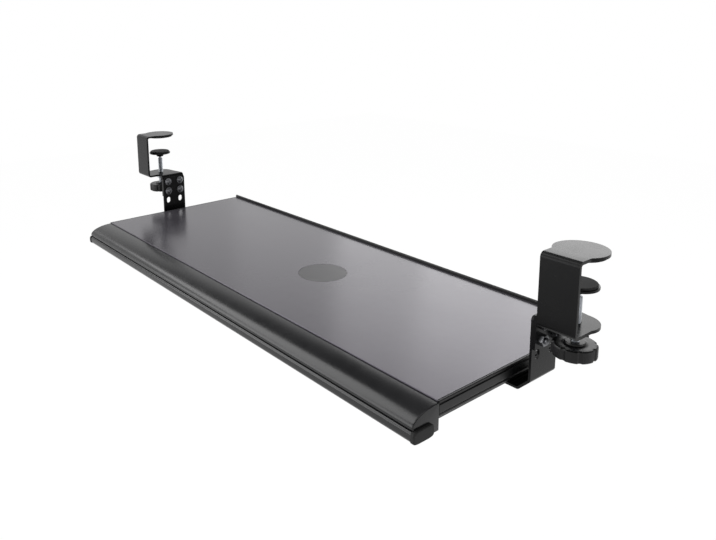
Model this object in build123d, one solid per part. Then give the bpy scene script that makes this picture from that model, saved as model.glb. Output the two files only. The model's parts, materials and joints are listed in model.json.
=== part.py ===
from build123d import *
import os
from math import cos, pi, sin, sqrt

# Keyboard tray that clamps under the front edge of a desk. Millimetres.
# The origin lies on the desk's top plane, at its front edge, midway between the two clamps.
# +X runs to the right along the edge, +Y to the back under the desk, +Z up.

# The desk edge and the C-shaped clamp brackets
clamp_outset = 51.0          # screw axis outside the deck's side
screw_setback = 29.5         # screw axis behind the desk edge
desk_thickness = 25.0        # desk that the feet are set to at rest
throat_below_desk_top = 62.0  # desk's top plane down to the lower jaw
bracket_width = 37.0
bracket_steel = 3.0
bracket_bend = 2.0           # inner bend radius
upper_jaw_radius = 24.0
lower_jaw_radius = 20.0
jaw_neck_fillet = 5.0
jaw_neck_find = 0.01         # how near a corner must lie to the reckoned neck
jaw_bore_clearance = 0.4     # the screw passes the jaw freely and runs in the nut

# The rubber pad under each upper jaw
pad_thickness = 2.0
pad_margin = 2.0             # pad's rim inside the jaw's rim

# The clamp screws, their nuts, feet and knobs
screw_radius = 4.0           # M8
screw_running = 0.06
nut_across_flats = 13.0
nut_height = 6.5
ball_tip_radius = 3.4
ball_tip_clearance = 0.12
neck_radius = 2.4
neck_length = 2.0
foot_radius = 17.5
foot_plate = 2.5
foot_rubber = 2.0
foot_rubber_margin = 1.5
foot_boss_radius = 7.0
foot_boss_height = 5.0
foot_boss_draft = 1.4        # how much narrower the boss is at its mouth
foot_mouth_clearance = 0.9   # lets the foot tilt round the ball
knob_radius = 19.5
knob_height = 11.5
knob_hub_radius = 9.0
knob_hub_height = 2.0
knob_drop = 8.5              # nut's underside down to the knob's hub
knob_lobes = 8
knob_lobe_cut = 3.2
knob_lobe_depth = 1.3
knob_edge_round = 1.6
knob_cap_recess = 1.2
knob_cap_radius = 11.0
knob_bore_floor = 2.5        # plastic under the screw's end

# The hanger plates and their bolts
hanger_gap = 15.5            # tray's side to the hanger's inner face
hanger_steel = 2.5
hanger_bend = 2.0
hanger_width = 40.0
hanger_setback = 35.0        # hanger's middle behind the desk edge
hanger_corner = 4.0
hanger_joggle = 12.0         # plate slants in below this height above its foot
flange_lap = 54.5            # hanger's foot reaches this far in under the slide
bolt_columns = 22.0
bolt_pitch = 16.0
bolt_rows = 3
bolted_rows = 2
first_row_drop = 7.5         # lower jaw's underside down to the first row of bolts
drop_flange_margin = 8.5     # second row of bolts down to the drop flange's edge
bolt_radius = 3.0            # M6
bolt_hole_clearance = 0.3
slot_width = 7.0
slot_height = 10.0
bolt_head_radius = 5.25
bolt_head_height = 3.3
bolt_socket_flats = 4.0
bolt_socket_depth = 2.0
bolt_end = 2.0               # thread past the nut
washer_radius = 6.0
washer_thickness = 1.6
bolt_nut_flats = 10.0
bolt_nut_height = 5.0

# The deck board and its edges
deck_width = 680.0           # over both side trims
deck_drop = 118.0            # desk's top plane down to the deck
board_front = 89.5           # board's front edge ahead of the desk edge, slides closed
board_depth = 239.0
board_thickness = 12.0
board_edge_round = 0.6
trim_thickness = 2.2
trim_round = 0.9
trim_groove_depth = 1.2
trim_groove_height = 1.8
trim_groove_drop = 2.2       # top of the trim down to its shadow groove
tongue_thickness = 2.4
tongue_reach = 7.0
tongue_drop = 6.4            # deck's top down to the tongue's middle
tongue_fit = 0.05
lip_thickness = 3.0
lip_rise = 3.5               # rear lip above the deck
lip_round = 1.2
badge_radius = 31.0
badge_thickness = 1.5
badge_fit = 0.1
badge_right = 46.0           # disc's middle from the deck's middle
badge_forward = 2.0

# The hollow bullnose moulding along the front edge
nose_reach = 33.0            # ahead of the board
nose_step = 1.5              # top of the moulding under the deck
nose_drop = 13.5             # deck down to the furthest point of the nose
nose_straight = 1.0
bead_groove_height = 2.0
bead_groove_depth = 1.8
bead_proud = 1.2             # bead ahead of the nose
bead_height = 11.0
bead_foot_round = 4.5
nose_wall = 2.0
under_flange = 22.0          # flange under the board
cap_thickness = 2.5
cap_plug = 8.0
cap_plug_fit = 0.15
nose_screw_count = 5
nose_screw_margin = 60.0     # end screws in from the moulding's ends

# Wood screws from below
wood_screw_radius = 1.75
wood_screw_length = 8.0
wood_screw_head_radius = 3.6
wood_screw_head_height = 1.7
wood_screw_fit = 0.05
wood_screw_recess = 1.0      # cross recess in the head
wood_screw_recess_width = 1.0

# The ball-bearing slides under the board
rail_width = 36.0
rail_height = 10.0
rail_sheet = 1.2
rail_bend = 0.9              # middle of the sheet
rail_front_inset = 2.0       # slide's front end behind the board's front edge
rail_rear_inset = 3.0        # slide's rear end ahead of the board's back edge
rail_inset = 0.4             # trim's inside to the slide
rail_lip = 2.8               # 45 degree legs of the ball grooves
rail_leg = 2.6
rail_tip = 2.35              # free ends of the inner member's grooves
ball_radius = 2.5
ball_clearance = 0.05
ball_pocket_clearance = 0.1
balls_per_row = 6
cage_sheet = 0.5
cage_lift = 0.25             # cage above the outer member
cage_bend = 1.2
cage_share = 2 / 9           # of the slide's length; the rest is the travel, 180 mm
cage_strip_margin = 1.1      # cage strip above the ball pockets
cage_window_share = 0.5
stop_thickness = 0.8
stop_height = 1.2
stop_width = 9.0
inner_stop_reach = 6.6
outer_rear_reach = 6.0       # outer member past the inner one, holds the bumper
bumper_play = 0.4
bumper_height = 7.0
bumper_width = 16.0
rivet_radius = 2.0
rivet_head_radius = 3.6
rivet_head_height = 1.6
rivet_sink_radius = 3.1
rivet_spacing = 24.0
rivet_fit = 0.05
rail_screw_margin = 22.0
rail_screw_count = 4

overrun = 5.0                # how far a cutting tool passes a face

# Places that follow from the sizes above
upper_plate_low = pad_thickness
lower_jaw_top = -throat_below_desk_top
lower_jaw_low = lower_jaw_top - bracket_steel
foot_face = -desk_thickness
foot_plate_low = foot_face - foot_rubber - foot_plate
foot_low = foot_plate_low - foot_boss_height
nut_low = lower_jaw_low - nut_height
knob_hub_top = nut_low - knob_drop
knob_top = knob_hub_top - knob_hub_height
knob_low = knob_top - knob_height
ball_tip_z = foot_plate_low - foot_boss_height / 2

side_x = deck_width / 2
axis_x = side_x + clamp_outset
board_side = side_x - trim_thickness
hanger_in = side_x + hanger_gap
hanger_out = hanger_in + hanger_steel
drop_flange_out = hanger_out + bracket_steel
hanger_front = hanger_setback - hanger_width / 2
hanger_back = hanger_setback + hanger_width / 2
first_row = lower_jaw_low - first_row_drop
last_bolted_row = first_row - bolt_pitch * (bolted_rows - 1)
drop_flange_low = last_bolted_row - drop_flange_margin

deck_z = -deck_drop
board_low = deck_z - board_thickness
board_y_front = -board_front
board_y_back = board_y_front + board_depth
badge_y = (board_y_front + board_y_back) / 2 - badge_forward

nose_y = board_y_front - nose_reach
nose_low = deck_z - nose_drop
bead_groove_top = nose_low - nose_straight
bead_groove_low = bead_groove_top - bead_groove_height
bead_y = nose_y - bead_proud
bead_top_round = bead_groove_depth + bead_proud
nose_foot = bead_groove_low - bead_height

rail_top = board_low
rail_low = rail_top - rail_height
rail_mid = (rail_top + rail_low) / 2
rail_x = board_side - rail_inset - rail_width / 2
rail_front = board_y_front + rail_front_inset
rail_back = board_y_back - rail_rear_inset
rail_length = rail_back - rail_front
rail_centre_y = (rail_front + rail_back) / 2
groove_reach = (ball_radius + ball_clearance + rail_sheet / 2) * sqrt(2)
ball_x = rail_width / 2 - groove_reach - rail_sheet / sqrt(2)
outer_apex = ball_x + groove_reach
inner_apex = ball_x - groove_reach
cage_low = rail_low + rail_sheet + cage_lift
cage_length = rail_length * cage_share

nodes = {}


def keep(name, shape):
    """Files one piece, or a group of like pieces, under its node name."""
    nodes[name] = shape


def keep_pair(name, shape):
    """Files a piece made for the right side, and its mirror image for the left."""
    keep(name + "_right", shape)
    keep(name + "_left", mirror(shape, about=Plane.YZ))


def mirror_points(points):
    """Adds the mirror image of an open half outline that ends near x = 0."""
    return list(points) + [(-x, z) for x, z in reversed(points)]


def along_x(sketch, low, high):
    """Extrudes a sketch of (Y, Z) points from x = low to x = high."""
    return extrude(Plane.YZ.offset(low) * sketch, amount=high - low)


def along_y(sketch, low, high):
    """Extrudes a sketch of (X, Z) points from y = low to y = high."""
    return extrude(Plane.XZ.offset(-low) * sketch, amount=low - high)


def along_z(sketch, low, high):
    """Extrudes a sketch of (X, Y) points from z = low to z = high."""
    return extrude(Plane.XY.offset(low) * sketch, amount=high - low)


def strip(points, radius, thickness):
    """Section of a bent sheet whose middle follows the points."""
    return trace(FilletPolyline(*points, radius=radius), line_width=thickness)


def slab(x_low, x_high, y_low, y_high, z_low, z_high):
    """A plain block between two corners."""
    middle = Pos((x_low + x_high) / 2, (y_low + y_high) / 2, (z_low + z_high) / 2)
    return middle * Box(x_high - x_low, y_high - y_low, z_high - z_low)


def rod(x, y, z_low, z_high, radius):
    """An upright cylinder between two heights."""
    return Pos(x, y, (z_low + z_high) / 2) * Cylinder(radius, z_high - z_low)


def rod_x(x_low, x_high, y, z, radius):
    """A cylinder along X."""
    lying = Pos((x_low + x_high) / 2, y, z) * Rot(0, 90, 0)
    return lying * Cylinder(radius, x_high - x_low)


def hexagon(flats):
    """A hexagon by the distance across its flats."""
    return RegularPolygon(flats / 2, 6, major_radius=False)


def turned(points):
    """Revolves an outline of (radius, height) points round the Z axis."""
    return revolve(Plane.XZ * make_face(Polyline(*points, close=True)), Axis.Z)


def spread(low, high, count):
    """Evenly spaced places from low to high."""
    return [low + (high - low) * i / (count - 1) for i in range(count)]


# The clamp brackets

def upper_jaw_plan():
    """Plan of the upper jaw: the bracket's strip runs into a round plate."""
    strip_plan = Pos(axis_x, screw_setback / 2) * Rectangle(bracket_width, screw_setback)
    plate_plan = strip_plan + Pos(axis_x, screw_setback) * Circle(upper_jaw_radius)
    neck_y = screw_setback - sqrt(upper_jaw_radius**2 - (bracket_width / 2) ** 2)
    necks = plate_plan.vertices().filter_by_position(Axis.Y, neck_y - jaw_neck_find, neck_y + jaw_neck_find)
    return fillet(necks, jaw_neck_fillet)


def lower_jaw_plan():
    """Plan of the lower jaw's side wing, tapering from the hanger to the round jaw."""
    corner = drop_flange_out + bracket_bend
    return make_face(
        Polyline(
            (hanger_out - overrun, hanger_front),
            (axis_x, hanger_front),
            (axis_x, screw_setback + lower_jaw_radius),
            (corner, hanger_back),
            (hanger_out - overrun, hanger_back),
            close=True,
        )
    )


def bolt_places(rows):
    """The (Y, Z) places of the hanger's bolt holes, counted down from the jaw."""
    columns = (hanger_setback - bolt_columns / 2, hanger_setback + bolt_columns / 2)
    return [(y, first_row - bolt_pitch * row) for row in range(rows) for y in columns]


def clamp_bracket():
    """The bent steel bracket: round upper jaw, web, lower jaw and drop flange."""
    half = bracket_steel / 2
    web_line = strip(
        [
            (screw_setback, upper_plate_low + half),
            (-half, upper_plate_low + half),
            (-half, lower_jaw_low + half),
            (screw_setback, lower_jaw_low + half),
        ],
        bracket_bend + half,
        bracket_steel,
    )
    body = along_x(web_line, axis_x - bracket_width / 2, axis_x + bracket_width / 2)
    jaw = along_z(upper_jaw_plan(), upper_plate_low, upper_plate_low + bracket_steel)
    body += jaw - slab(
        axis_x - bracket_width, axis_x + bracket_width, -overrun, bracket_bend,
        upper_plate_low - overrun, upper_plate_low + overrun,
    )
    body += rod(axis_x, screw_setback, lower_jaw_low, lower_jaw_top, lower_jaw_radius)
    wing_line = strip(
        [
            (axis_x, lower_jaw_low + half),
            (hanger_out + half, lower_jaw_low + half),
            (hanger_out + half, drop_flange_low),
        ],
        bracket_bend + half,
        bracket_steel,
    )
    wing = along_y(wing_line, hanger_front, hanger_back)
    body += wing & along_z(lower_jaw_plan(), drop_flange_low - overrun, lower_jaw_top + overrun)
    bore = screw_radius + jaw_bore_clearance
    body -= rod(axis_x, screw_setback, lower_jaw_low - overrun, lower_jaw_top + overrun, bore)
    for y, z in bolt_places(bolted_rows):
        hole = bolt_radius + bolt_hole_clearance
        body -= rod_x(hanger_out - overrun, drop_flange_out + overrun, y, z, hole)
    return body


def upper_pad():
    """Rubber disc between the upper jaw and the desk."""
    pad = rod(axis_x, screw_setback, 0, pad_thickness, upper_jaw_radius - pad_margin)
    return chamfer(pad.edges().group_by(Axis.Z)[0], pad_thickness / 4)


def screw_nut():
    """Nut welded under the lower jaw, in which the clamp screw runs."""
    blank = along_z(hexagon(nut_across_flats), nut_low, lower_jaw_low)
    nut = Pos(axis_x, screw_setback) * blank
    return nut - rod(
        axis_x, screw_setback, nut_low - overrun, lower_jaw_low + overrun, screw_radius + screw_running
    )


# The hangers, from the brackets down to the slides

def hanger():
    """Slotted plate that slants in to a foot under the slide."""
    half = hanger_steel / 2
    line = strip(
        [
            (hanger_in + half, lower_jaw_low),
            (hanger_in + half, rail_low - half + hanger_joggle),
            (hanger_in + half - hanger_joggle, rail_low - half),
            (hanger_in - flange_lap, rail_low - half),
        ],
        hanger_bend + half,
        hanger_steel,
    )
    plate = along_y(line, hanger_front, hanger_back)
    top_corners = plate.edges().filter_by(Axis.X).group_by(Axis.Z)[-1]
    plate = fillet(top_corners, hanger_corner)
    foot_corners = plate.edges().filter_by(Axis.Z).group_by(Axis.X)[0]
    plate = fillet(foot_corners, hanger_corner)
    for y, z in bolt_places(bolt_rows):
        slot = Plane.YZ * (Pos(y, z) * Rot(0, 0, 90) * SlotOverall(slot_height, slot_width))
        plate -= Pos(hanger_in - overrun, 0, 0) * extrude(slot, amount=hanger_steel + 2 * overrun)
    for y in rivet_places():
        hole = rivet_radius + rivet_fit
        plate -= rod(rail_x, y, rail_low - hanger_steel - overrun, rail_low + overrun, hole)
    return plate


def bolt():
    """Button-head bolt along +X with its head's seat at x = 0 and its shank at x > 0."""
    length = washer_thickness + hanger_steel + bracket_steel + bolt_nut_height + bolt_end
    crown = (bolt_head_radius**2 + bolt_head_height**2) / (2 * bolt_head_height)
    ball = Pos(crown - bolt_head_height, 0, 0) * Sphere(crown)
    head = ball & rod_x(-bolt_head_height, 0, 0, 0, bolt_head_radius)
    socket = Plane.YZ.offset(-bolt_head_height) * hexagon(bolt_socket_flats)
    head -= extrude(socket, amount=bolt_socket_depth)
    return head + rod_x(0, length, 0, 0, bolt_radius)


def hanger_bolts():
    """Four bolts, heads on the tray's side."""
    seat = hanger_in - washer_thickness
    return Compound(children=[Pos(seat, y, z) * bolt() for y, z in bolt_places(bolted_rows)])


def hanger_washers():
    """Washers that bridge the slots."""
    ring = rod_x(0, washer_thickness, 0, 0, washer_radius)
    ring -= rod_x(-overrun, washer_thickness + overrun, 0, 0, bolt_radius + bolt_hole_clearance)
    seat = hanger_in - washer_thickness
    return Compound(children=[Pos(seat, y, z) * ring for y, z in bolt_places(bolted_rows)])


def hanger_nuts():
    """Hexagon nuts on the outside of the drop flange."""
    blank = extrude(Plane.YZ * hexagon(bolt_nut_flats), amount=bolt_nut_height)
    blank -= rod_x(-overrun, bolt_nut_height + overrun, 0, 0, bolt_radius)
    places = bolt_places(bolted_rows)
    return Compound(children=[Pos(drop_flange_out, y, z) * blank for y, z in places])


# The clamp screws

def spindle():
    """Screw with a ball tip above and its end in the knob."""
    shoulder = ball_tip_z - ball_tip_radius - neck_length
    screw = rod(axis_x, screw_setback, knob_low + knob_bore_floor, shoulder, screw_radius)
    screw = chamfer(screw.edges().group_by(Axis.Z)[-1], screw_radius / 4)
    neck = rod(axis_x, screw_setback, shoulder, ball_tip_z, neck_radius)
    return screw + neck + Pos(axis_x, screw_setback, ball_tip_z) * Sphere(ball_tip_radius)


def foot():
    """Round pressure foot with a boss that holds the ball tip."""
    plate_top = foot_plate_low + foot_plate
    blank = turned(
        [
            (0, foot_low),
            (foot_boss_radius - foot_boss_draft, foot_low),
            (foot_boss_radius, foot_plate_low),
            (foot_radius, foot_plate_low),
            (foot_radius, plate_top),
            (0, plate_top),
        ]
    )
    blank -= Pos(0, 0, ball_tip_z) * Sphere(ball_tip_radius + ball_tip_clearance)
    blank -= rod(0, 0, foot_low - overrun, ball_tip_z, neck_radius + foot_mouth_clearance)
    return Pos(axis_x, screw_setback, 0) * blank


def foot_pad():
    """Rubber face on the foot."""
    radius = foot_radius - foot_rubber_margin
    pad = rod(axis_x, screw_setback, foot_face - foot_rubber, foot_face, radius)
    return chamfer(pad.edges().group_by(Axis.Z)[-1], foot_rubber / 4)


def knob():
    """Lobed hand knob with a hub on top and a shallow dish below."""
    body = Cylinder(knob_radius, knob_height)
    cut_centre = knob_radius + knob_lobe_cut - knob_lobe_depth
    for i in range(knob_lobes):
        angle = 2 * pi * i / knob_lobes
        cut = Cylinder(knob_lobe_cut, knob_height + overrun)
        body -= Pos(cut_centre * cos(angle), cut_centre * sin(angle), 0) * cut
    ends = body.edges().group_by(Axis.Z)
    body = chamfer(ends[0] + ends[-1], knob_edge_round)
    body = Pos(axis_x, screw_setback, (knob_top + knob_low) / 2) * body
    body += rod(axis_x, screw_setback, knob_top, knob_hub_top, knob_hub_radius)
    body -= rod(axis_x, screw_setback, knob_low - overrun, knob_low + knob_cap_recess, knob_cap_radius)
    seat = knob_low + knob_bore_floor
    return body - rod(axis_x, screw_setback, seat, knob_hub_top + overrun, screw_radius)


# The deck

def board_screw_places():
    """The (X, Y) places of every screw that enters the board from below."""
    rail = [(s * rail_x, y) for s in (-1, 1) for y in rail_screw_places()]
    return rail + nose_screw_places()


def rail_screw_places():
    """Places along Y of the screws that hold an inner member."""
    return spread(rail_front + rail_screw_margin, rail_back - rail_screw_margin, rail_screw_count)


def nose_screw_places():
    """The (X, Y) places of the screws through the moulding's rear flange."""
    reach = side_x - nose_screw_margin
    y = board_y_front + under_flange / 2
    return [(x, y) for x in spread(-reach, reach, nose_screw_count)]


def board():
    """Flat board with tongue grooves on three sides and a round recess on top."""
    panel = slab(-board_side, board_side, board_y_front, board_y_back, board_low, deck_z)
    top_edges = panel.edges().group_by(Axis.Z)[-1]
    panel = chamfer(top_edges, board_edge_round)
    groove_low = deck_z - tongue_drop - tongue_thickness / 2
    groove_top = groove_low + tongue_thickness
    depth = tongue_reach + tongue_fit
    for side in (-1, 1):
        inner, outer = side * (board_side - depth), side * (board_side + overrun)
        panel -= slab(
            min(inner, outer), max(inner, outer), board_y_front - overrun, board_y_back + overrun,
            groove_low, groove_top,
        )
    panel -= slab(
        -side_x, side_x, board_y_back - depth, board_y_back + overrun, groove_low, groove_top
    )
    panel -= rod(badge_right, badge_y, deck_z - badge_thickness, deck_z + overrun, badge_radius)
    for x, y in board_screw_places():
        depth_z = wood_screw_length + wood_screw_fit
        panel -= rod(x, y, board_low - overrun, board_low + depth_z, wood_screw_radius + wood_screw_fit)
    return panel


def centre_disc():
    """Bare round inlay near the middle of the deck."""
    disc = rod(badge_right, badge_y, deck_z - badge_thickness, deck_z, badge_radius - badge_fit)
    return chamfer(disc.edges().group_by(Axis.Z)[-1], badge_thickness / 5)


def edge_trim():
    """Side moulding: tongue in the board and a shadow groove near the top."""
    low = board_low
    groove_top = deck_z - trim_groove_drop
    groove_low = groove_top - trim_groove_height
    outline = FilletPolyline(
        (board_side, deck_z),
        (side_x, deck_z),
        (side_x, groove_top),
        (side_x - trim_groove_depth, groove_top),
        (side_x - trim_groove_depth, groove_low),
        (side_x, groove_low),
        (side_x, low),
        (board_side, low),
        radius=[trim_round, trim_groove_depth / 3, 0, 0, trim_groove_depth / 3, trim_round],
    )
    section = make_face(outline + Line(outline @ 1, outline @ 0))
    tongue_middle = deck_z - tongue_drop
    half = tongue_thickness / 2 - tongue_fit
    tongue = Pos(board_side - tongue_reach / 2, tongue_middle) * Rectangle(tongue_reach, 2 * half)
    return along_y(section + tongue, board_y_front, board_y_back)


def rear_lip():
    """Black strip along the back edge, proud of the deck, with a tongue in the board."""
    low = board_low
    high = deck_z + lip_rise
    back = board_y_back + lip_thickness
    outline = FilletPolyline(
        (board_y_back, low),
        (board_y_back, high),
        (back, high),
        (back, low),
        radius=[lip_round, lip_round],
    )
    section = make_face(outline + Line(outline @ 1, outline @ 0))
    half = tongue_thickness / 2 - tongue_fit
    tongue = Pos(board_y_back - tongue_reach / 2, deck_z - tongue_drop) * Rectangle(tongue_reach, 2 * half)
    tongue_end = board_side - tongue_reach
    lip = along_x(section, -side_x, side_x)
    return lip + along_x(tongue, -tongue_end, tongue_end)


# The bullnose moulding along the front edge

def nose_outline():
    """Outer outline of the moulding in (Y, Z): elliptical nose, groove, bead and flat underside."""
    groove_y = nose_y + bead_groove_depth
    crown = EllipticalCenterArc(
        (board_y_front, nose_low), nose_reach, nose_drop - nose_step, start_angle=90, arc_size=90
    )
    groove = Polyline(
        (nose_y, nose_low),
        (nose_y, bead_groove_top),
        (groove_y, bead_groove_top),
        (groove_y, bead_groove_low),
    )
    bead_top = CenterArc((groove_y, bead_groove_low - bead_top_round), bead_top_round, 90, 90)
    bead_front = Line(bead_top @ 1, (bead_y, nose_foot + bead_foot_round))
    bead_foot = CenterArc((bead_y + bead_foot_round, nose_foot + bead_foot_round), bead_foot_round, 180, 90)
    underside = Polyline(
        bead_foot @ 1,
        (board_y_front, nose_foot),
        (board_y_front, deck_z - nose_step),
    )
    return make_face(crown + groove + bead_top + bead_front + bead_foot + underside)


def nose_hollow(gap):
    """Hollow of the moulding, drawn in by the wall and by a further gap."""
    inset = nose_wall + gap
    front = nose_y + bead_groove_depth + inset
    back = board_y_front - inset
    low = nose_foot + inset
    crown = EllipticalCenterArc(
        (back, nose_low), back - front, nose_drop - nose_step - inset, start_angle=90, arc_size=90
    )
    walls = Polyline(
        (front, nose_low),
        (front, low + bead_foot_round / 2),
        (front + bead_foot_round / 2, low),
        (back, low),
        (back, deck_z - nose_step - inset),
    )
    return make_face(crown + walls)


def wrist_rest():
    """Hollow moulding with a flange that is screwed up into the board."""
    reach = side_x - cap_thickness
    body = along_x(nose_outline() - nose_hollow(0), -reach, reach)
    flange_reach = board_side - rail_width - rail_inset - under_flange
    body += slab(
        -flange_reach, flange_reach, board_y_front - nose_wall / 2, board_y_front + under_flange,
        board_low - nose_wall, board_low,
    )
    for x, y in nose_screw_places():
        hole = wood_screw_radius + wood_screw_fit
        body -= rod(x, y, board_low - nose_wall - overrun, board_low + overrun, hole)
    return body


def wrist_rest_cap():
    """End cap: a plate on the moulding's end and a plug in its hollow."""
    inner = side_x - cap_thickness
    plate = along_x(nose_outline(), inner, side_x)
    rim = plate.faces().sort_by(Axis.X)[-1].edges()
    plate = chamfer(rim, cap_thickness / 5)
    return plate + along_x(nose_hollow(cap_plug_fit), inner - cap_plug, inner)


def wood_screw(x, y, seat):
    """Pan-head screw driven upwards, with a cross recess; its head is seated at z = seat."""
    screw = rod(x, y, seat, board_low + wood_screw_length, wood_screw_radius)
    head = rod(x, y, seat - wood_screw_head_height, seat, wood_screw_head_radius)
    head = chamfer(head.edges().group_by(Axis.Z)[0], wood_screw_head_height / 3)
    reach = wood_screw_head_radius / 2
    half = wood_screw_recess_width / 2
    low = seat - wood_screw_head_height
    for across, along in ((reach, half), (half, reach)):
        head -= slab(x - across, x + across, y - along, y + along, low - overrun, low + wood_screw_recess)
    return screw + head


def wrist_rest_screws():
    """Screws through the moulding's flange into the board."""
    return Compound(children=[wood_screw(x, y, board_low - nose_wall) for x, y in nose_screw_places()])


# The ball-bearing slides

def inner_rail():
    """Member on the tray: a web under the board and a ball groove along each side."""
    half = rail_sheet / 2
    line = [
        (inner_apex + rail_tip, rail_mid - rail_tip),
        (inner_apex, rail_mid),
        (inner_apex + rail_leg, rail_mid + rail_leg),
        (inner_apex + rail_leg, rail_top - half),
    ]
    section = Pos(rail_x, 0) * strip(mirror_points(line), rail_bend, rail_sheet)
    body = along_y(section, rail_front, rail_back)
    body += slab(
        rail_x - stop_width / 2, rail_x + stop_width / 2, rail_back - stop_thickness, rail_back,
        rail_top - rail_sheet - inner_stop_reach, rail_top - rail_sheet / 2,
    )
    for y in rail_screw_places():
        hole = wood_screw_radius + wood_screw_fit
        body -= rod(rail_x, y, rail_top - rail_sheet - overrun, rail_top + overrun, hole)
    return body


def inner_rail_screws():
    """Screws through the inner members' webs into the board."""
    places = [(s * rail_x, y) for s in (-1, 1) for y in rail_screw_places()]
    return Compound(children=[wood_screw(x, y, rail_top - rail_sheet) for x, y in places])


def rivet_places():
    """Places along Y of the rivets that hold an outer member to its hanger."""
    return (hanger_setback - rivet_spacing / 2, hanger_setback + rivet_spacing / 2)


def outer_rail():
    """Member on the hanger: a base and a ball groove along each side, with a front stop."""
    half = rail_sheet / 2
    line = [
        (outer_apex - rail_lip, rail_mid + rail_lip),
        (outer_apex, rail_mid),
        (outer_apex - rail_leg, rail_mid - rail_leg),
        (outer_apex - rail_leg, rail_low + half),
    ]
    section = Pos(rail_x, 0) * strip(mirror_points(line), rail_bend, rail_sheet)
    body = along_y(section, rail_front, rail_back + outer_rear_reach)
    body += slab(
        rail_x - stop_width / 2, rail_x + stop_width / 2, rail_front, rail_front + stop_thickness,
        rail_low + half, rail_low + rail_sheet + stop_height,
    )
    for y in rivet_places():
        cone = Cone(rivet_radius + rivet_fit, rivet_sink_radius + rivet_fit, rail_sheet)
        body -= Pos(rail_x, y, rail_low + half) * cone
    return body


def rail_rivets():
    """Rivets, flush inside the slide and domed under the hanger's foot."""
    flange_low = rail_low - hanger_steel
    pieces = []
    for y in rivet_places():
        top = Pos(0, 0, rail_low + rail_sheet / 2) * Cone(rivet_radius, rivet_sink_radius, rail_sheet)
        shank = rod(0, 0, flange_low, rail_low, rivet_radius)
        crown = (rivet_head_radius**2 + rivet_head_height**2) / (2 * rivet_head_height)
        ball = Pos(0, 0, flange_low - rivet_head_height + crown) * Sphere(crown)
        dome = ball & rod(0, 0, flange_low - rivet_head_height, flange_low, rivet_head_radius)
        pieces.append(Pos(rail_x, y, 0) * (top + shank + dome))
    return Compound(children=pieces)


def rail_bumper():
    """Rubber block that the inner member closes against."""
    low = rail_low + rail_sheet
    front = rail_back + bumper_play
    back = rail_back + outer_rear_reach
    half = bumper_width / 2
    block = slab(rail_x - half, rail_x + half, front, back, low, low + bumper_height)
    return fillet(block.edges().filter_by(Axis.Z), (back - front) / 4)


def ball_places():
    """Places along Y of the balls, evenly spaced in the cage."""
    margin = ball_radius * 2
    low = rail_centre_y - cage_length / 2 + margin
    return spread(low, low + cage_length - 2 * margin, balls_per_row)


def ball_cage():
    """U-shaped sheet cage with a pocket for each ball and windows in its web."""
    half = cage_sheet / 2
    top = rail_mid + ball_radius + ball_pocket_clearance + cage_strip_margin
    line = [(ball_x, top), (ball_x, cage_low + half)]
    section = Pos(rail_x, 0) * strip(mirror_points(line), cage_bend, cage_sheet)
    low = rail_centre_y - cage_length / 2
    cage = along_y(section, low, low + cage_length)
    pocket = ball_radius + ball_pocket_clearance
    for y in ball_places():
        cage -= rod_x(rail_x - rail_width / 2, rail_x + rail_width / 2, y, rail_mid, pocket)
    window = Pos(rail_x, rail_centre_y) * SlotOverall(
        cage_length * cage_window_share, 2 * ball_x * cage_window_share, rotation=90
    )
    return cage - along_z(window, cage_low - overrun / 2, cage_low + cage_sheet + overrun / 2)


def bearing_balls():
    """Two rows of steel balls between the members' grooves."""
    rows = [(rail_x + s * ball_x, y) for s in (-1, 1) for y in ball_places()]
    return Compound(children=[Pos(x, y, rail_mid) * Sphere(ball_radius) for x, y in rows])


keep("tray_board", board())
keep("centre_disc", centre_disc())
keep_pair("edge_trim", edge_trim())
keep("rear_lip", rear_lip())
keep("wrist_rest", wrist_rest())
keep_pair("wrist_rest_cap", wrist_rest_cap())
keep("wrist_rest_screws", wrist_rest_screws())
keep("inner_rail_screws", inner_rail_screws())
keep_pair("inner_rail", inner_rail())
keep_pair("ball_cage", ball_cage())
keep_pair("bearing_balls", bearing_balls())
keep_pair("outer_rail", outer_rail())
keep_pair("rail_bumper", rail_bumper())
keep_pair("rail_rivets", rail_rivets())
keep_pair("hanger", hanger())
keep_pair("hanger_bolts", hanger_bolts())
keep_pair("hanger_washers", hanger_washers())
keep_pair("hanger_nuts", hanger_nuts())
keep_pair("clamp_bracket", clamp_bracket())
keep_pair("upper_pad", upper_pad())
keep_pair("screw_nut", screw_nut())
keep_pair("foot", foot())
keep_pair("foot_pad", foot_pad())
keep_pair("spindle", spindle())
keep_pair("knob", knob())

os.makedirs("parts", exist_ok=True)
for name, shape in nodes.items():
    export_step(shape, os.path.join("parts", name + ".step"))
print(len(nodes), "nodes written")
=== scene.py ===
import json
import math
import bpy
import bmesh
import numpy as np
from mathutils import Matrix, Vector


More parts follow.
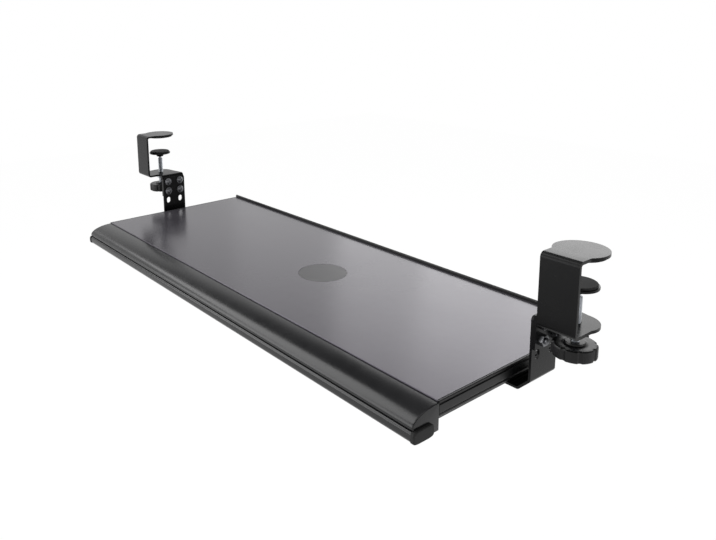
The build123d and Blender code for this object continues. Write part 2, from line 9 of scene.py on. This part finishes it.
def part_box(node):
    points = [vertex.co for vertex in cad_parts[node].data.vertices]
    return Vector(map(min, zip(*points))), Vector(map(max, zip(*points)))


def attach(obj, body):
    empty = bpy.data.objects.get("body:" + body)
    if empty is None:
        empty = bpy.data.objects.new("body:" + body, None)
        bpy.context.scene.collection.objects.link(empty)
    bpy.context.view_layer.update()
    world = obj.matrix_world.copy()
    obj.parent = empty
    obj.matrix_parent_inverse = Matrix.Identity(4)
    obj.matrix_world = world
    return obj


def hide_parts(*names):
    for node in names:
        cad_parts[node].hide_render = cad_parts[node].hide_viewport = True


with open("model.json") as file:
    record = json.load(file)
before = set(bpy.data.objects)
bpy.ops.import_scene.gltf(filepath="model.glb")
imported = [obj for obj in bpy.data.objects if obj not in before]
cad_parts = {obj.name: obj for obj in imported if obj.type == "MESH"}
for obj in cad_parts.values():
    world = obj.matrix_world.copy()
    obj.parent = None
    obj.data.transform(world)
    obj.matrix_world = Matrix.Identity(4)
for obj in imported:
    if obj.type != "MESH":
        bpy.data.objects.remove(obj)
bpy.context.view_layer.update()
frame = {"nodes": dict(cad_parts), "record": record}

mm = 0.001
print("frame loaded:", len(frame["nodes"]), "nodes")

bodies = frame["record"]["behaviour"]["bodies"]
nodeBody = {node: body for body, members in bodies.items() for node in members}
nodeSlot = {part["node"]: part["material_slot"] for part in frame["record"]["subparts"]}


# sRGB hex to the linear colour that the shaders want
def hexColour(text):
    channels = np.array([int(text[i:i + 2], 16) / 255 for i in (1, 3, 5)])
    linear = np.where(channels <= 0.04045, channels / 12.92, ((channels + 0.055) / 1.055) ** 2.4)
    return (*[float(c) for c in linear], 1.0)


# One node, its own settings and its inputs: a number or a colour is set, a socket is linked
def addNode(tree, kind, inputs=None, **settings):
    node = tree.nodes.new(kind)
    for key, value in settings.items():
        setattr(node, key, value)
    for key, value in (inputs or {}).items():
        socket = node.inputs[key]
        if isinstance(value, bpy.types.NodeSocket):
            tree.links.new(value, socket)
        else:
            socket.default_value = value
    return node


# How every finish wanders: detail and roughness of its two noises, the share of the clouds that its tones span,
# how far its roughness moves with them, and how strongly its grain shows
pattern = {
    "cloudDetail": 3.0, "grainDetail": 2.0, "noiseRoughness": 0.55, "toneSpan": (0.3, 0.7),
    "spreadDown": 0.04, "spreadUp": 0.05, "reliefStrength": 0.7,
}


# A finish: two tones mixed by soft clouds that also move the roughness, over a bump of fine grain
def finishMaterial(name, dark, light, roughness, grainMm, grainDepthMm, cloudMm=22.0, **shaderInputs):
    material = bpy.data.materials.new(name)
    material.use_nodes = True
    tree = material.node_tree
    tree.nodes.clear()
    place = addNode(tree, "ShaderNodeTexCoord").outputs["Object"]
    clouds = addNode(tree, "ShaderNodeTexNoise", {
        "Vector": place, "Scale": 1 / (cloudMm * mm),
        "Detail": pattern["cloudDetail"], "Roughness": pattern["noiseRoughness"],
    }).outputs["Fac"]
    grain = addNode(tree, "ShaderNodeTexNoise", {
        "Vector": place, "Scale": 1 / (grainMm * mm),
        "Detail": pattern["grainDetail"], "Roughness": pattern["noiseRoughness"],
    }).outputs["Fac"]
    low, high = pattern["toneSpan"]
    share = addNode(
        tree, "ShaderNodeMapRange", {"Value": clouds, "From Min": low, "From Max": high}
    ).outputs["Result"]
    tones = {0: share, 6: hexColour(dark), 7: hexColour(light)}  # sockets 6, 7 and 2 are the Mix node's colours
    colour = addNode(tree, "ShaderNodeMix", tones, data_type="RGBA").outputs[2]
    spread = addNode(tree, "ShaderNodeMapRange", {
        "Value": clouds, "To Min": roughness - pattern["spreadDown"], "To Max": roughness + pattern["spreadUp"],
    }).outputs["Result"]
    relief = addNode(tree, "ShaderNodeBump", {
        "Height": grain, "Distance": grainDepthMm * mm, "Strength": pattern["reliefStrength"],
    }).outputs["Normal"]
    shader = addNode(
        tree, "ShaderNodeBsdfPrincipled",
        {"Base Color": colour, "Roughness": spread, "Normal": relief, **shaderInputs},
    ).outputs["BSDF"]
    addNode(tree, "ShaderNodeOutputMaterial", {"Surface": shader})
    return material


# Each finish: name, darker and lighter tone, roughness, grain and its depth in mm, size of its clouds in mm where
# they are not the usual ones, and its gloss. The grains are drawn coarser than the real 0.1 to 0.3 mm, so that
# they show. The blacks' IOR is matched to the object: it lies under the usual 1.5, because the real pieces give
# back little of the room
finishes = {
    # melamine film pressed on fibreboard: satin and faintly pearled, with a soft mirror at low angles
    "deck_laminate": finishMaterial(
        "grey satin melamine laminate", "#413F44", "#48464B", 0.2, 0.9, 0.013, 46.0,
        **{"IOR": 1.5, "Specular Tint": hexColour("#F4ECFF")},
    ),
    # moulded ABS: a plain round a shade darker than the film, with a duller sheen
    "disc_inlay": finishMaterial("dark satin ABS disc", "#2E2D30", "#333236", 0.36, 0.6, 0.01, IOR=1.5),
    # extruded PVC: deep black strips that hardly shine
    "edge_plastic": finishMaterial("extruded black PVC", "#121213", "#171718", 0.4, 0.7, 0.012, IOR=1.36),
    # moulded ABS with a fine leather grain: one long soft highlight down the front
    "wrist_rest_plastic": finishMaterial(
        "semi-gloss black ABS", "#18181A", "#1E1E20", 0.22, 0.8, 0.01, IOR=1.42
    ),
    # baked polyester powder: black with a faint orange peel that breaks up its highlights
    "black_powder_coat": finishMaterial(
        "black powder coat on steel", "#0F0F10", "#131314", 0.26, 0.75, 0.02, IOR=1.25
    ),
    # bright zinc: light grey metal, slightly clouded
    "zinc_plated_steel": finishMaterial(
        "bright zinc-plated steel", "#A9ACB0", "#C3C6CA", 0.32, 0.8, 0.01, 9.0, Metallic=1.0
    ),
    # electro-coat on rolled sheet: black, thin and even, glossier along the rolled edges
    "rail_steel": finishMaterial(
        "black electro-coat on rolled sheet", "#19191A", "#1F1F20", 0.34, 0.9, 0.015, IOR=1.4
    ),
    # ground and polished balls: small bright mirrors
    "ball_steel": finishMaterial(
        "polished bearing steel", "#C8CACD", "#D5D7DA", 0.12, 0.8, 0.004, 9.0, Metallic=1.0
    ),
    # black zinc: dark grey metal that still glints on its flats
    "screw_steel": finishMaterial(
        "black zinc screw steel", "#66676A", "#77787B", 0.32, 0.8, 0.01, 9.0, Metallic=1.0
    ),
    # nitrile rubber: matt and sooty
    "black_rubber": finishMaterial("black nitrile rubber", "#151515", "#1C1C1C", 0.75, 1.0, 0.03, IOR=1.5),
    # moulded nylon: black with a low satin shine on the ribs
    "knob_plastic": finishMaterial("black moulded nylon", "#0C0C0D", "#121213", 0.34, 0.7, 0.012, IOR=1.36),
}
print("materials ready:", len(finishes))


def setMaterial(piece, slotName):
    piece.data.materials.clear()
    piece.data.materials.append(finishes[slotName])


for nodeName, nodeObject in frame["nodes"].items():
    setMaterial(nodeObject, nodeSlot[nodeName])


# Puts a finished mesh in the scene for one node: its body, its finish and the node that it stands for
def placePiece(mesh, name, nodeName):
    piece = bpy.data.objects.new(name, mesh)
    bpy.context.scene.collection.objects.link(piece)
    setMaterial(piece, nodeSlot[nodeName])
    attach(piece, nodeBody[nodeName])
    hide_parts(nodeName)
    return piece


# Metres within which points are one, metres under which an edge is nothing, and degrees of a flat face
joining = {"pointGap": 2e-6, "tinyEdge": 1e-7, "flatDegrees": 0.4}


# Joins points that coincide, turns faces outwards and shades smooth up to the given crease.
# Normals that came with the mesh no longer fit once its points are joined, so they go first
def tidyMesh(mesh, creaseDegrees, turnOut=True):
    if "custom_normal" in mesh.attributes:
        mesh.attributes.remove(mesh.attributes["custom_normal"])
    work = bmesh.new()
    work.from_mesh(mesh)
    bmesh.ops.remove_doubles(work, verts=work.verts, dist=joining["pointGap"])
    bmesh.ops.dissolve_degenerate(work, edges=work.edges, dist=joining["tinyEdge"])
    if turnOut:
        bmesh.ops.recalc_face_normals(work, faces=work.faces)
    work.to_mesh(mesh)
    work.free()
    mesh.shade_smooth()
    mesh.set_sharp_from_angle(angle=math.radians(creaseDegrees))


# Surface over a grid of points (rows, columns, 3); either way round can close on itself
def gridMesh(name, points, closeRows, closeColumns, creaseDegrees):
    rows, columns = points.shape[:2]
    row, column = np.meshgrid(
        np.arange(rows - (not closeRows)), np.arange(columns - (not closeColumns)), indexing="ij"
    )
    nextRow, nextColumn = (row + 1) % rows, (column + 1) % columns
    corners = [row * columns + column, nextRow * columns + column,
               nextRow * columns + nextColumn, row * columns + nextColumn]
    mesh = bpy.data.meshes.new(name)
    mesh.from_pydata(points.reshape(-1, 3).tolist(), [], np.stack(corners, -1).reshape(-1, 4).tolist())
    tidyMesh(mesh, creaseDegrees)
    return mesh


# The right piece's points, turned over to the left where side is -1
def mirrored(points, side):
    return points * np.array([side, 1.0, 1.0])


# Solids that keep their CAD shape and get real edges: node stem, rounding of its edges in mm
roundedCopies = {
    "tray_board": 0.15, "centre_disc": 0.25, "rear_lip": 0.3, "edge_trim": 0.2,
    "clamp_bracket": 0.45, "upper_pad": 0.3, "screw_nut": 0.35, "foot": 0.45, "foot_pad": 0.3,
    "hanger": 0.4, "hanger_bolts": 0.25, "hanger_washers": 0.2, "hanger_nuts": 0.25,
    "outer_rail": 0.2, "inner_rail": 0.2, "rail_bumper": 0.4, "rail_rivets": 0.15,
    "ball_cage": 0.1, "bearing_balls": 0.0, "wrist_rest_screws": 0.15, "inner_rail_screws": 0.15,
}
roundingSteps = 2
creaseAngle = 32  # degrees: a sharper edge of a CAD solid is rounded


# A merged copy of a node, its flat faces whole again and its edges rounded by a Bevel modifier
def roundedCopy(nodeName, roundMm):
    mesh = frame["nodes"][nodeName].data.copy()
    mesh.name = nodeName + "_finished"
    tidyMesh(mesh, creaseAngle, turnOut=False)
    if roundMm:
        work = bmesh.new()
        work.from_mesh(mesh)
        flat = math.radians(joining["flatDegrees"])
        bmesh.ops.dissolve_limit(work, angle_limit=flat, verts=work.verts, edges=work.edges)
        work.to_mesh(mesh)
        work.free()
    piece = placePiece(mesh, nodeName + "_finished", nodeName)
    if roundMm:
        rounding = piece.modifiers.new("edgeRounding", "BEVEL")
        rounding.width = roundMm * mm
        rounding.segments = roundingSteps
        rounding.limit_method = "ANGLE"
        rounding.angle_limit = math.radians(creaseAngle)
        rounding.harden_normals = True
    return piece


for nodeName in frame["nodes"]:
    stem = nodeName.removesuffix("_left").removesuffix("_right")
    if stem in roundedCopies:
        roundedCopy(nodeName, roundedCopies[stem])
print("solids copied and rounded")


# Front moulding, in mm: below the deck and ahead of the board, as extruded
nose = {
    "reach": 33.0, "step": 1.5, "drop": 13.5, "straight": 1.0, "grooveHeight": 2.0, "grooveDepth": 1.8,
    "grooveLip": 0.35, "beadProud": 1.2, "beadHeight": 11.0, "footRound": 4.5, "wall": 2.0,
    "stations": 60, "arcSteps": 28, "lipSteps": 5, "beadSteps": 9, "footSteps": 11,
    "creaseDegrees": 48, "flangeGap": 0.1,  # the CAD flange's faces begin this far behind the board's front
}
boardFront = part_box("tray_board")[0][1] / mm
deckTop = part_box("tray_board")[1][2] / mm


# Points of an arc: centre plus radii times cosine and sine, from one angle to another in degrees
def arcPoints(centre, radii, start, end, steps):
    angle = np.radians(np.linspace(start, end, steps))
    return np.stack([centre[0] + radii[0] * np.cos(angle), centre[1] + radii[1] * np.sin(angle)], -1)


# Section in (Y, Z) mm: quarter ellipse, groove with a rounded lip, bead, flat underside, back wall
def noseSection():
    front = boardFront - nose["reach"]
    low = deckTop - nose["drop"]
    grooveTop = low - nose["straight"]
    grooveLow = grooveTop - nose["grooveHeight"]
    grooveBack = front + nose["grooveDepth"]
    beadFront = front - nose["beadProud"]
    topRound = nose["grooveDepth"] + nose["beadProud"]
    foot = grooveLow - nose["beadHeight"]
    rise = nose["drop"] - nose["step"]
    lip, footRound = nose["grooveLip"], nose["footRound"]
    footCentre = (beadFront + footRound, foot + footRound)
    return np.concatenate([
        arcPoints((boardFront, low), (nose["reach"], rise), 90, 180, nose["arcSteps"]),
        arcPoints((front + lip, grooveTop + lip), (lip, lip), 180, 270, nose["lipSteps"]),
        np.array([[grooveBack, grooveTop], [grooveBack, grooveLow]]),
        arcPoints((grooveBack, grooveLow - topRound), (topRound, topRound), 90, 180, nose["beadSteps"])[1:],
        arcPoints(footCentre, (footRound, footRound), 180, 270, nose["footSteps"]),
        np.array([[boardFront, foot]]),
    ])


# Hollow in (Y, Z) mm, one wall in from the outline, spread over the same number of points
def hollowSection(count):
    front = boardFront - nose["reach"] + nose["grooveDepth"] + nose["wall"]
    back = boardFront - nose["wall"]
    low = deckTop - nose["drop"]
    foot = low - nose["straight"] - nose["grooveHeight"] - nose["beadHeight"] + nose["wall"]
    rise = nose["drop"] - nose["step"] - nose["wall"]
    cut = nose["footRound"] / 2
    outline = np.concatenate([
        arcPoints((back, low), (back - front, rise), 90, 180, nose["arcSteps"]),
        np.array([[front, foot + cut], [front + cut, foot], [back, foot], [back, low + rise]]),
    ])
    walked = np.concatenate([[0], np.cumsum(np.linalg.norm(np.diff(outline, axis=0), axis=1))])
    wanted = np.linspace(0, walked[-1], count)
    return np.stack([np.interp(wanted, walked, outline[:, axis]) for axis in (0, 1)], -1)


# An outline set in towards its inside: each point moves along the mean of its two edges' normals,
# and an edge of no length has none
def insetOutline(outline, inset, noLength=1e-6, almostZero=1e-9):
    edge = np.roll(outline, -1, axis=0) - outline
    normal = np.stack([-edge[:, 1], edge[:, 0]], -1)
    length = np.maximum(np.linalg.norm(normal, axis=1, keepdims=True), almostZero)
    normal = np.where(length > noLength, normal / length, 0.0)
    mean = normal + np.roll(normal, 1, axis=0)
    return outline + inset * mean / np.maximum(np.linalg.norm(mean, axis=1, keepdims=True), almostZero)


# Outlines (Y, Z) placed at stations along X, as one grid in metres
def gridAlongX(stations, outlines):
    grid = np.empty((len(stations), len(outlines[0]), 3))
    grid[..., 0] = np.asarray(stations)[:, None]
    grid[..., 1:] = np.stack(outlines)
    return grid * mm


# The tube: the outer skin runs right, the inner skin runs back, and both ends close on each other
def wristRestMesh():
    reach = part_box("wrist_rest")[1][0] / mm
    stations = np.linspace(-reach, reach, nose["stations"])
    section = noseSection()
    hollow = hollowSection(len(section))
    rows = np.concatenate([stations, stations[::-1]])
    outlines = [section] * len(stations) + [hollow] * len(stations)
    return gridMesh("wrist_rest_finished", gridAlongX(rows, outlines), True, True, nose["creaseDegrees"])


# Adds the screwed flange, which the CAD solid has behind the moulding's back wall
def addFlange(mesh):
    source = frame["nodes"]["wrist_rest"].data.copy()
    tidyMesh(source, creaseAngle, turnOut=False)
    work = bmesh.new()
    work.from_mesh(source)
    wall = (boardFront + nose["flangeGap"]) * mm
    ahead = [face for face in work.faces if all(vert.co.y < wall for vert in face.verts)]
    bmesh.ops.delete(work, geom=ahead, context="FACES")
    work.from_mesh(mesh)
    work.to_mesh(mesh)
    work.free()
    mesh.set_sharp_from_angle(angle=math.radians(nose["creaseDegrees"]))
    return mesh


placePiece(addFlange(wristRestMesh()), "wrist_rest_finished", "wrist_rest")

# End cap, mm: a plate with a rounded rim outside and a plug in the hollow, its flat faces drawn to a middle point
cap = {"round": 0.9, "roundSteps": 6, "plug": 8.0, "plugFit": 0.15, "middleAhead": 15.0}
# Stop, mm: a black rubber block on the bead's end, sized to the dark patch there; it is partly a real stop and
# partly painted shade, a black block standing for the shade under the cap's end
stopAndShade = {
    "depth": 26.0, "height": 12.2, "proud": 3.2, "edge": 1.4, "steps": 8, "forward": 0.6, "below": 0.2,
    "overlap": 1.0, "around": 48, "squareness": 0.45, "creaseDegrees": 50,
}


# Rows of the cap from the plug's end outwards; the rim's rounding insets the outline by a quarter circle
def capMesh(side, name):
    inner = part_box("wrist_rest")[1][0] / mm
    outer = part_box("wrist_rest_cap_right")[1][0] / mm
    section = noseSection()
    plug = insetOutline(hollowSection(len(section)), cap["plugFit"])
    middle = np.array([boardFront - cap["middleAhead"], (section[:, 1].min() + section[:, 1].max()) / 2])
    turn = np.radians(np.linspace(0, 90, cap["roundSteps"]))
    rim = [insetOutline(section, cap["round"] * (1 - np.cos(angle))) for angle in turn]
    stations = [inner - cap["plug"]] * 2 + [inner, inner]
    outlines = [plug * 0 + middle, plug, plug, section]
    stations += list(outer - cap["round"] + cap["round"] * np.sin(turn)) + [outer]
    outlines += rim + [plug * 0 + middle]
    grid = mirrored(gridAlongX(stations, outlines), side)
    return gridMesh(name, grid, False, True, nose["creaseDegrees"])


# Rounded block: a superellipse outline in (Y, Z), drawn in by a quarter circle towards its outer face; its black
# also stands for painted shade under the cap's end
def stopAndShadeMesh(side, name):
    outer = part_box("wrist_rest_cap_right")[1][0] / mm
    front = boardFront - nose["reach"] - nose["beadProud"] - stopAndShade["forward"]
    foot = noseSection()[:, 1].min() - stopAndShade["below"]
    half = np.array([stopAndShade["depth"], stopAndShade["height"]]) / 2
    centre = np.array([front, foot]) + half
    angle = np.linspace(0, 2 * math.pi, stopAndShade["around"] + 1)[:-1]
    unit = np.stack([np.cos(angle), np.sin(angle)], -1)
    outline = np.sign(unit) * np.abs(unit) ** stopAndShade["squareness"] * half
    turn = np.radians(np.linspace(0, 90, stopAndShade["steps"]))
    face = outer + stopAndShade["proud"]
    rows = [outline] + [outline * (1 - stopAndShade["edge"] * (1 - np.cos(a)) / half) for a in turn] + [outline * 0]
    stations = [outer - stopAndShade["overlap"]] + list(face - stopAndShade["edge"] * (1 - np.sin(turn))) + [face]
    grid = mirrored(gridAlongX(stations, [row + centre for row in rows]), side)
    return gridMesh(name, grid, False, True, stopAndShade["creaseDegrees"])


for sideName, side in (("left", -1), ("right", 1)):
    placePiece(capMesh(side, f"end_cap_{sideName}"), f"end_cap_{sideName}", f"wrist_rest_cap_{sideName}")
    # Black rubber block at each bead end: partly a stop, partly painted shade for the dark underside of the cap's
    # end
    stopAndShadeBlock = bpy.data.objects.new(f"bead_stop_and_shade_{sideName}", stopAndShadeMesh(side, f"bead_stop_and_shade_{sideName}"))
    bpy.context.scene.collection.objects.link(stopAndShadeBlock)
    setMaterial(stopAndShadeBlock, "black_rubber")
    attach(stopAndShadeBlock, "tray")
print("front moulding ready")

# Clamp screw, mm: coarse metric thread over the whole rod, a turned neck and a ball tip that starts at an angle
thread = {
    "radius": 4.0, "pitch": 1.25, "depth": 0.74, "crest": 0.16, "root": 0.2, "chamfer": 1.0,
    "neck": 2.4, "neckLength": 2.0, "neckJoin": 2.41, "tip": 3.4, "tipFrom": -45, "tipSteps": 14,
    "around": 40, "perPitch": 8, "creaseDegrees": 38,
}


# Radius = rod less thread depth times a V wave of (height / pitch - angle / turn), flat at crest and root
def screwMesh(sideName):
    low, high = (np.array(corner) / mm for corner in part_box(f"spindle_{sideName}"))
    centre = (low + high) / 2
    tipCentre = high[2] - thread["tip"]
    shoulder = tipCentre - thread["tip"] - thread["neckLength"]
    heights = np.arange(low[2], shoulder, thread["pitch"] / thread["perPitch"])
    heights = np.append(heights, shoulder)
    angle = np.linspace(0, 2 * math.pi, thread["around"], endpoint=False)
    phase = (heights[:, None] / thread["pitch"] - angle[None] / (2 * math.pi)) % 1.0
    wave = np.abs(2 * phase - 1)
    cut = np.clip((wave - thread["root"]) / (1 - thread["root"] - thread["crest"]), 0, 1)
    radius = thread["radius"] - thread["depth"] * (1 - cut)
    bevel = np.minimum(heights - low[2], shoulder - heights)[:, None] + thread["radius"] - thread["chamfer"]
    radius = np.minimum(radius, bevel)
    arc = np.radians(np.linspace(thread["tipFrom"], 90, thread["tipSteps"]))
    tailRadius = np.concatenate([[thread["neck"], thread["neck"]], thread["tip"] * np.cos(arc)])
    neckEnd = tipCentre - thread["neckJoin"]
    tailHeight = np.concatenate([[shoulder, neckEnd], tipCentre + thread["tip"] * np.sin(arc)])
    radius = np.concatenate([
        np.zeros((1, len(angle))), radius, np.repeat(tailRadius[:, None], len(angle), 1)
    ])
    heights = np.concatenate([[low[2]], heights, tailHeight])
    grid = np.stack([centre[0] + radius * np.cos(angle), centre[1] + radius * np.sin(angle),
                     np.repeat(heights[:, None], len(angle), 1)], -1)
    return gridMesh(f"screw_{sideName}", grid * mm, False, True, thread["creaseDegrees"])


# Knob, mm: eight finger hollows in a round body with fine upright ribs all round, hub above, dish below
knob = {
    "radius": 19.5, "edge": 1.6, "edgeSteps": 7, "faceRing": 15.5, "bore": 4.0,
    "hub": 9.0, "hubHeight": 2.0, "chamfer": 0.5, "filletIn": 0.1, "filletUp": 0.3, "filletOut": 0.6,
    "dish": 11.0, "dishDepth": 1.2,
    "lobes": 8, "lobeCut": 3.2, "lobeDepth": 1.3, "lobeSoftness": 0.2, "lobeFrom": 12.5,
    "ribs": 96, "ribDepth": 0.16, "around": 384, "creaseDegrees": 44,
}


# Radius = profile radius less the hollows' depth, which fades to nothing towards the middle of each face
def knobMesh(sideName):
    low, high = (np.array(corner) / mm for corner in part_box(f"knob_{sideName}"))
    centre = (low + high) / 2
    foot, hubTop = low[2], high[2]
    top = hubTop - knob["hubHeight"]
    edge, hub, dish, chamfer = (knob[key] for key in ("edge", "hub", "dish", "chamfer"))
    dishTop = foot + knob["dishDepth"]
    turn = np.radians(np.linspace(90, 0, knob["edgeSteps"]))
    upper = np.stack([knob["radius"] - edge + edge * np.cos(turn), top - edge + edge * np.sin(turn)], -1)
    lower = np.stack([upper[::-1, 0], foot + top - upper[::-1, 1]], -1)
    profile = np.concatenate([
        [[knob["bore"], hubTop], [hub - chamfer, hubTop], [hub, hubTop - chamfer]],
        [[hub + knob["filletIn"], top + knob["filletUp"]], [hub + knob["filletOut"], top]],
        [[knob["lobeFrom"], top], [knob["faceRing"], top]],
        upper, lower,
        [[knob["faceRing"], foot], [dish + chamfer, foot], [dish, foot + chamfer], [dish, dishTop], [0, dishTop]],
    ])
    angle = np.linspace(0, 2 * math.pi, knob["around"], endpoint=False)
    sector = (angle + math.pi / knob["lobes"]) % (2 * math.pi / knob["lobes"]) - math.pi / knob["lobes"]
    reach = knob["radius"] + knob["lobeCut"] - knob["lobeDepth"]
    inside = knob["lobeCut"] ** 2 - (reach * np.sin(sector)) ** 2
    cutDepth = knob["radius"] - reach * np.cos(sector) + np.sqrt(np.maximum(inside, 0))
    hollow = np.maximum(cutDepth, 0) * (inside > 0)
    hollow = hollow ** 2 / (hollow + knob["lobeSoftness"])
    hollow += knob["ribDepth"] * (0.5 - 0.5 * np.cos(knob["ribs"] * angle))
    span = knob["radius"] - edge - knob["lobeFrom"]
    fade = np.clip((profile[:, 0] - knob["lobeFrom"]) / span, 0, 1) ** 2
    radius = profile[:, :1] - fade[:, None] * hollow[None]
    grid = np.stack([centre[0] + radius * np.cos(angle), centre[1] + radius * np.sin(angle),
                     np.repeat(profile[:, 1:], len(angle), 1)], -1)
    return gridMesh(f"knob_{sideName}_ribbed", grid * mm, False, True, knob["creaseDegrees"])


for sideName in ("left", "right"):
    placePiece(screwMesh(sideName), f"screw_{sideName}", f"spindle_{sideName}")
    placePiece(knobMesh(sideName), f"knob_{sideName}_ribbed", f"knob_{sideName}")
print("screws and knobs ready")


camera = {
    "place": (0.7043, -0.5229, 0.2121), "yaw": 142.65, "pitch": 11.29, "roll": -0.94,  # metres and degrees
    "focalPx": 712.4, "centrePx": (290.4, 150.5), "framePx": (716, 540), "sensorMm": 36.0, "clip": (0.01, 50.0),
}


# Looks along yaw and pitch, leans by roll, and shifts the frame so that the optical axis meets centrePx
def placeCamera():
    yaw, pitch, roll = (math.radians(camera[key]) for key in ("yaw", "pitch", "roll"))
    ahead = np.array([math.cos(yaw) * math.cos(pitch), math.sin(yaw) * math.cos(pitch), -math.sin(pitch)])
    level = np.array([math.sin(yaw), -math.cos(yaw), 0.0])
    upright = np.cross(level, ahead)
    right = math.cos(roll) * level + math.sin(roll) * upright
    top = math.cos(roll) * upright - math.sin(roll) * level
    data = bpy.data.cameras.new("studioCamera")
    width, height = camera["framePx"]
    data.sensor_width = camera["sensorMm"]
    data.lens = camera["focalPx"] / width * camera["sensorMm"]
    data.shift_x = (width / 2 - camera["centrePx"][0]) / width
    data.shift_y = (camera["centrePx"][1] - height / 2) / width
    data.clip_start, data.clip_end = camera["clip"]
    view = bpy.data.objects.new("studioCamera", data)
    turn = Matrix(np.column_stack([right, top, -ahead]).tolist()).to_4x4()
    view.matrix_world = Matrix.Translation(camera["place"]) @ turn
    bpy.context.scene.collection.objects.link(view)
    bpy.context.scene.camera = view


placeCamera()

# Lamps round the tray: where each stands, its width and height in metres, its watts and what it faces.
# The back panels stand in one low row, brighter to the right, for the sheen across the deck
studio = {
    "floorZ": -0.74, "floorSize": 8.0, "floorColour": "#E6E6E6", "worldStrength": 0.16,
    "floorWhite": 0.97, "whiteLevel": 1.02,  # the rest of the floor stays paper, which takes the object's shadow
    "backdropTop": (0.46, 0.58),  # sines of the heights above the horizon between which the white fades out
    "lamps": {
        "backPanelB": ((-1.98, 1.48, 0.80), (0.49, 0.92), 0.4, (0.1, 0.0, -0.12)),
        "backPanelC": ((-1.69, 1.82, 0.915), (0.40, 1.15), 1.75, (0.1, 0.0, -0.12)),
        "backPanelD": ((-1.38, 2.08, 0.965), (0.40, 1.25), 3.3, (0.1, 0.0, -0.12)),
        "backPanelE": ((-0.90, 2.35, 1.015), (0.71, 1.35), 7.4, (0.1, 0.0, -0.12)),
        "keyPanel": ((-1.25, -1.70, 0.20), (1.5, 1.30), 16.0, (0.0, -0.1, 0.02)),
        "highPanel": ((-1.33, -0.85, 1.50), (1.7, 1.5), 29.0, (0.0, -0.1, -0.12)),
        "rightPanel": ((2.6, 0.9, 0.25), (1.6, 1.4), 8.0, (0.0, 0.0, -0.1)),
        "topPanel": ((0.0, 0.2, 2.4), (2.4, 1.6), 9.0, (0.0, 0.0, -0.1)),
    },
}


# 1 for rays that meet the plain white background: from the camera, through glass and, by its share, mirrored
def backgroundRays(tree, mirrorShare):
    path = addNode(tree, "ShaderNodeLightPath").outputs
    direct = {0: path["Is Camera Ray"], 1: path["Is Transmission Ray"]}
    seen = addNode(tree, "ShaderNodeMath", direct, operation="MAXIMUM").outputs[0]
    polished = {0: path["Is Glossy Ray"], 1: mirrorShare}
    glossy = addNode(tree, "ShaderNodeMath", polished, operation="MULTIPLY").outputs[0]
    return addNode(tree, "ShaderNodeMath", {0: seen, 1: glossy}, operation="MAXIMUM").outputs[0]


# Floor, world and lamps: the lamps and the dim world light the object, the white is background alone
def buildStudio():
    plainWhite = (1, 1, 1, 1)
    half = studio["floorSize"] / 2
    mesh = bpy.data.meshes.new("studioFloor")
    corners = [(x * half, y * half, studio["floorZ"]) for x, y in ((-1, -1), (1, -1), (1, 1), (-1, 1))]
    mesh.from_pydata(corners, [], [(0, 1, 2, 3)])
    floor = bpy.data.objects.new("studioFloor", mesh)
    bpy.context.scene.collection.objects.link(floor)
    material = bpy.data.materials.new("pale studio paper")
    material.use_nodes = True
    tree = material.node_tree
    tree.nodes.clear()
    glow = {"Color": plainWhite, "Strength": studio["whiteLevel"]}
    white = addNode(tree, "ShaderNodeEmission", glow).outputs[0]
    paper = addNode(tree, "ShaderNodeBsdfDiffuse", {"Color": hexColour(studio["floorColour"])}).outputs[0]
    mixed = addNode(tree, "ShaderNodeMixShader", {0: studio["floorWhite"], 1: paper, 2: white}).outputs[0]
    picked = backgroundRays(tree, 1.0)
    surface = addNode(tree, "ShaderNodeMixShader", {0: picked, 1: paper, 2: mixed}).outputs[0]
    addNode(tree, "ShaderNodeOutputMaterial", {"Surface": surface})
    mesh.materials.append(material)

    world = bpy.data.worlds.new("studioWorld")
    bpy.context.scene.world = world
    world.use_nodes = True
    tree = world.node_tree
    tree.nodes.clear()
    dim = {"Color": plainWhite, "Strength": studio["worldStrength"]}
    soft = addNode(tree, "ShaderNodeBackground", dim).outputs[0]
    bright = addNode(tree, "ShaderNodeBackground", {"Color": plainWhite, "Strength": 1.0}).outputs[0]
    # Polished parts see the white backdrop up to its top edge, and the dim studio above it
    skyward = addNode(tree, "ShaderNodeTexCoord").outputs["Generated"]
    height = addNode(tree, "ShaderNodeSeparateXYZ", {"Vector": skyward}).outputs["Z"]
    low, high = studio["backdropTop"]
    backdrop = addNode(tree, "ShaderNodeMapRange", {
        "Value": height, "From Min": low, "From Max": high, "To Min": 1.0, "To Max": 0.0,
    }).outputs["Result"]
    picked = backgroundRays(tree, backdrop)
    surface = addNode(tree, "ShaderNodeMixShader", {0: picked, 1: soft, 2: bright}).outputs[0]
    addNode(tree, "ShaderNodeOutputWorld", {"Surface": surface})

    for name, (place, size, power, aim) in studio["lamps"].items():
        data = bpy.data.lights.new(name, "AREA")
        data.shape = "RECTANGLE"
        data.size, data.size_y = size
        data.energy = power
        lamp = bpy.data.objects.new(name, data)
        lamp.location = place
        lamp.rotation_euler = (Vector(aim) - Vector(place)).to_track_quat("-Z", "Y").to_euler()
        bpy.context.scene.collection.objects.link(lamp)


buildStudio()
bpy.context.scene.view_settings.view_transform = "Standard"
print("studio ready")
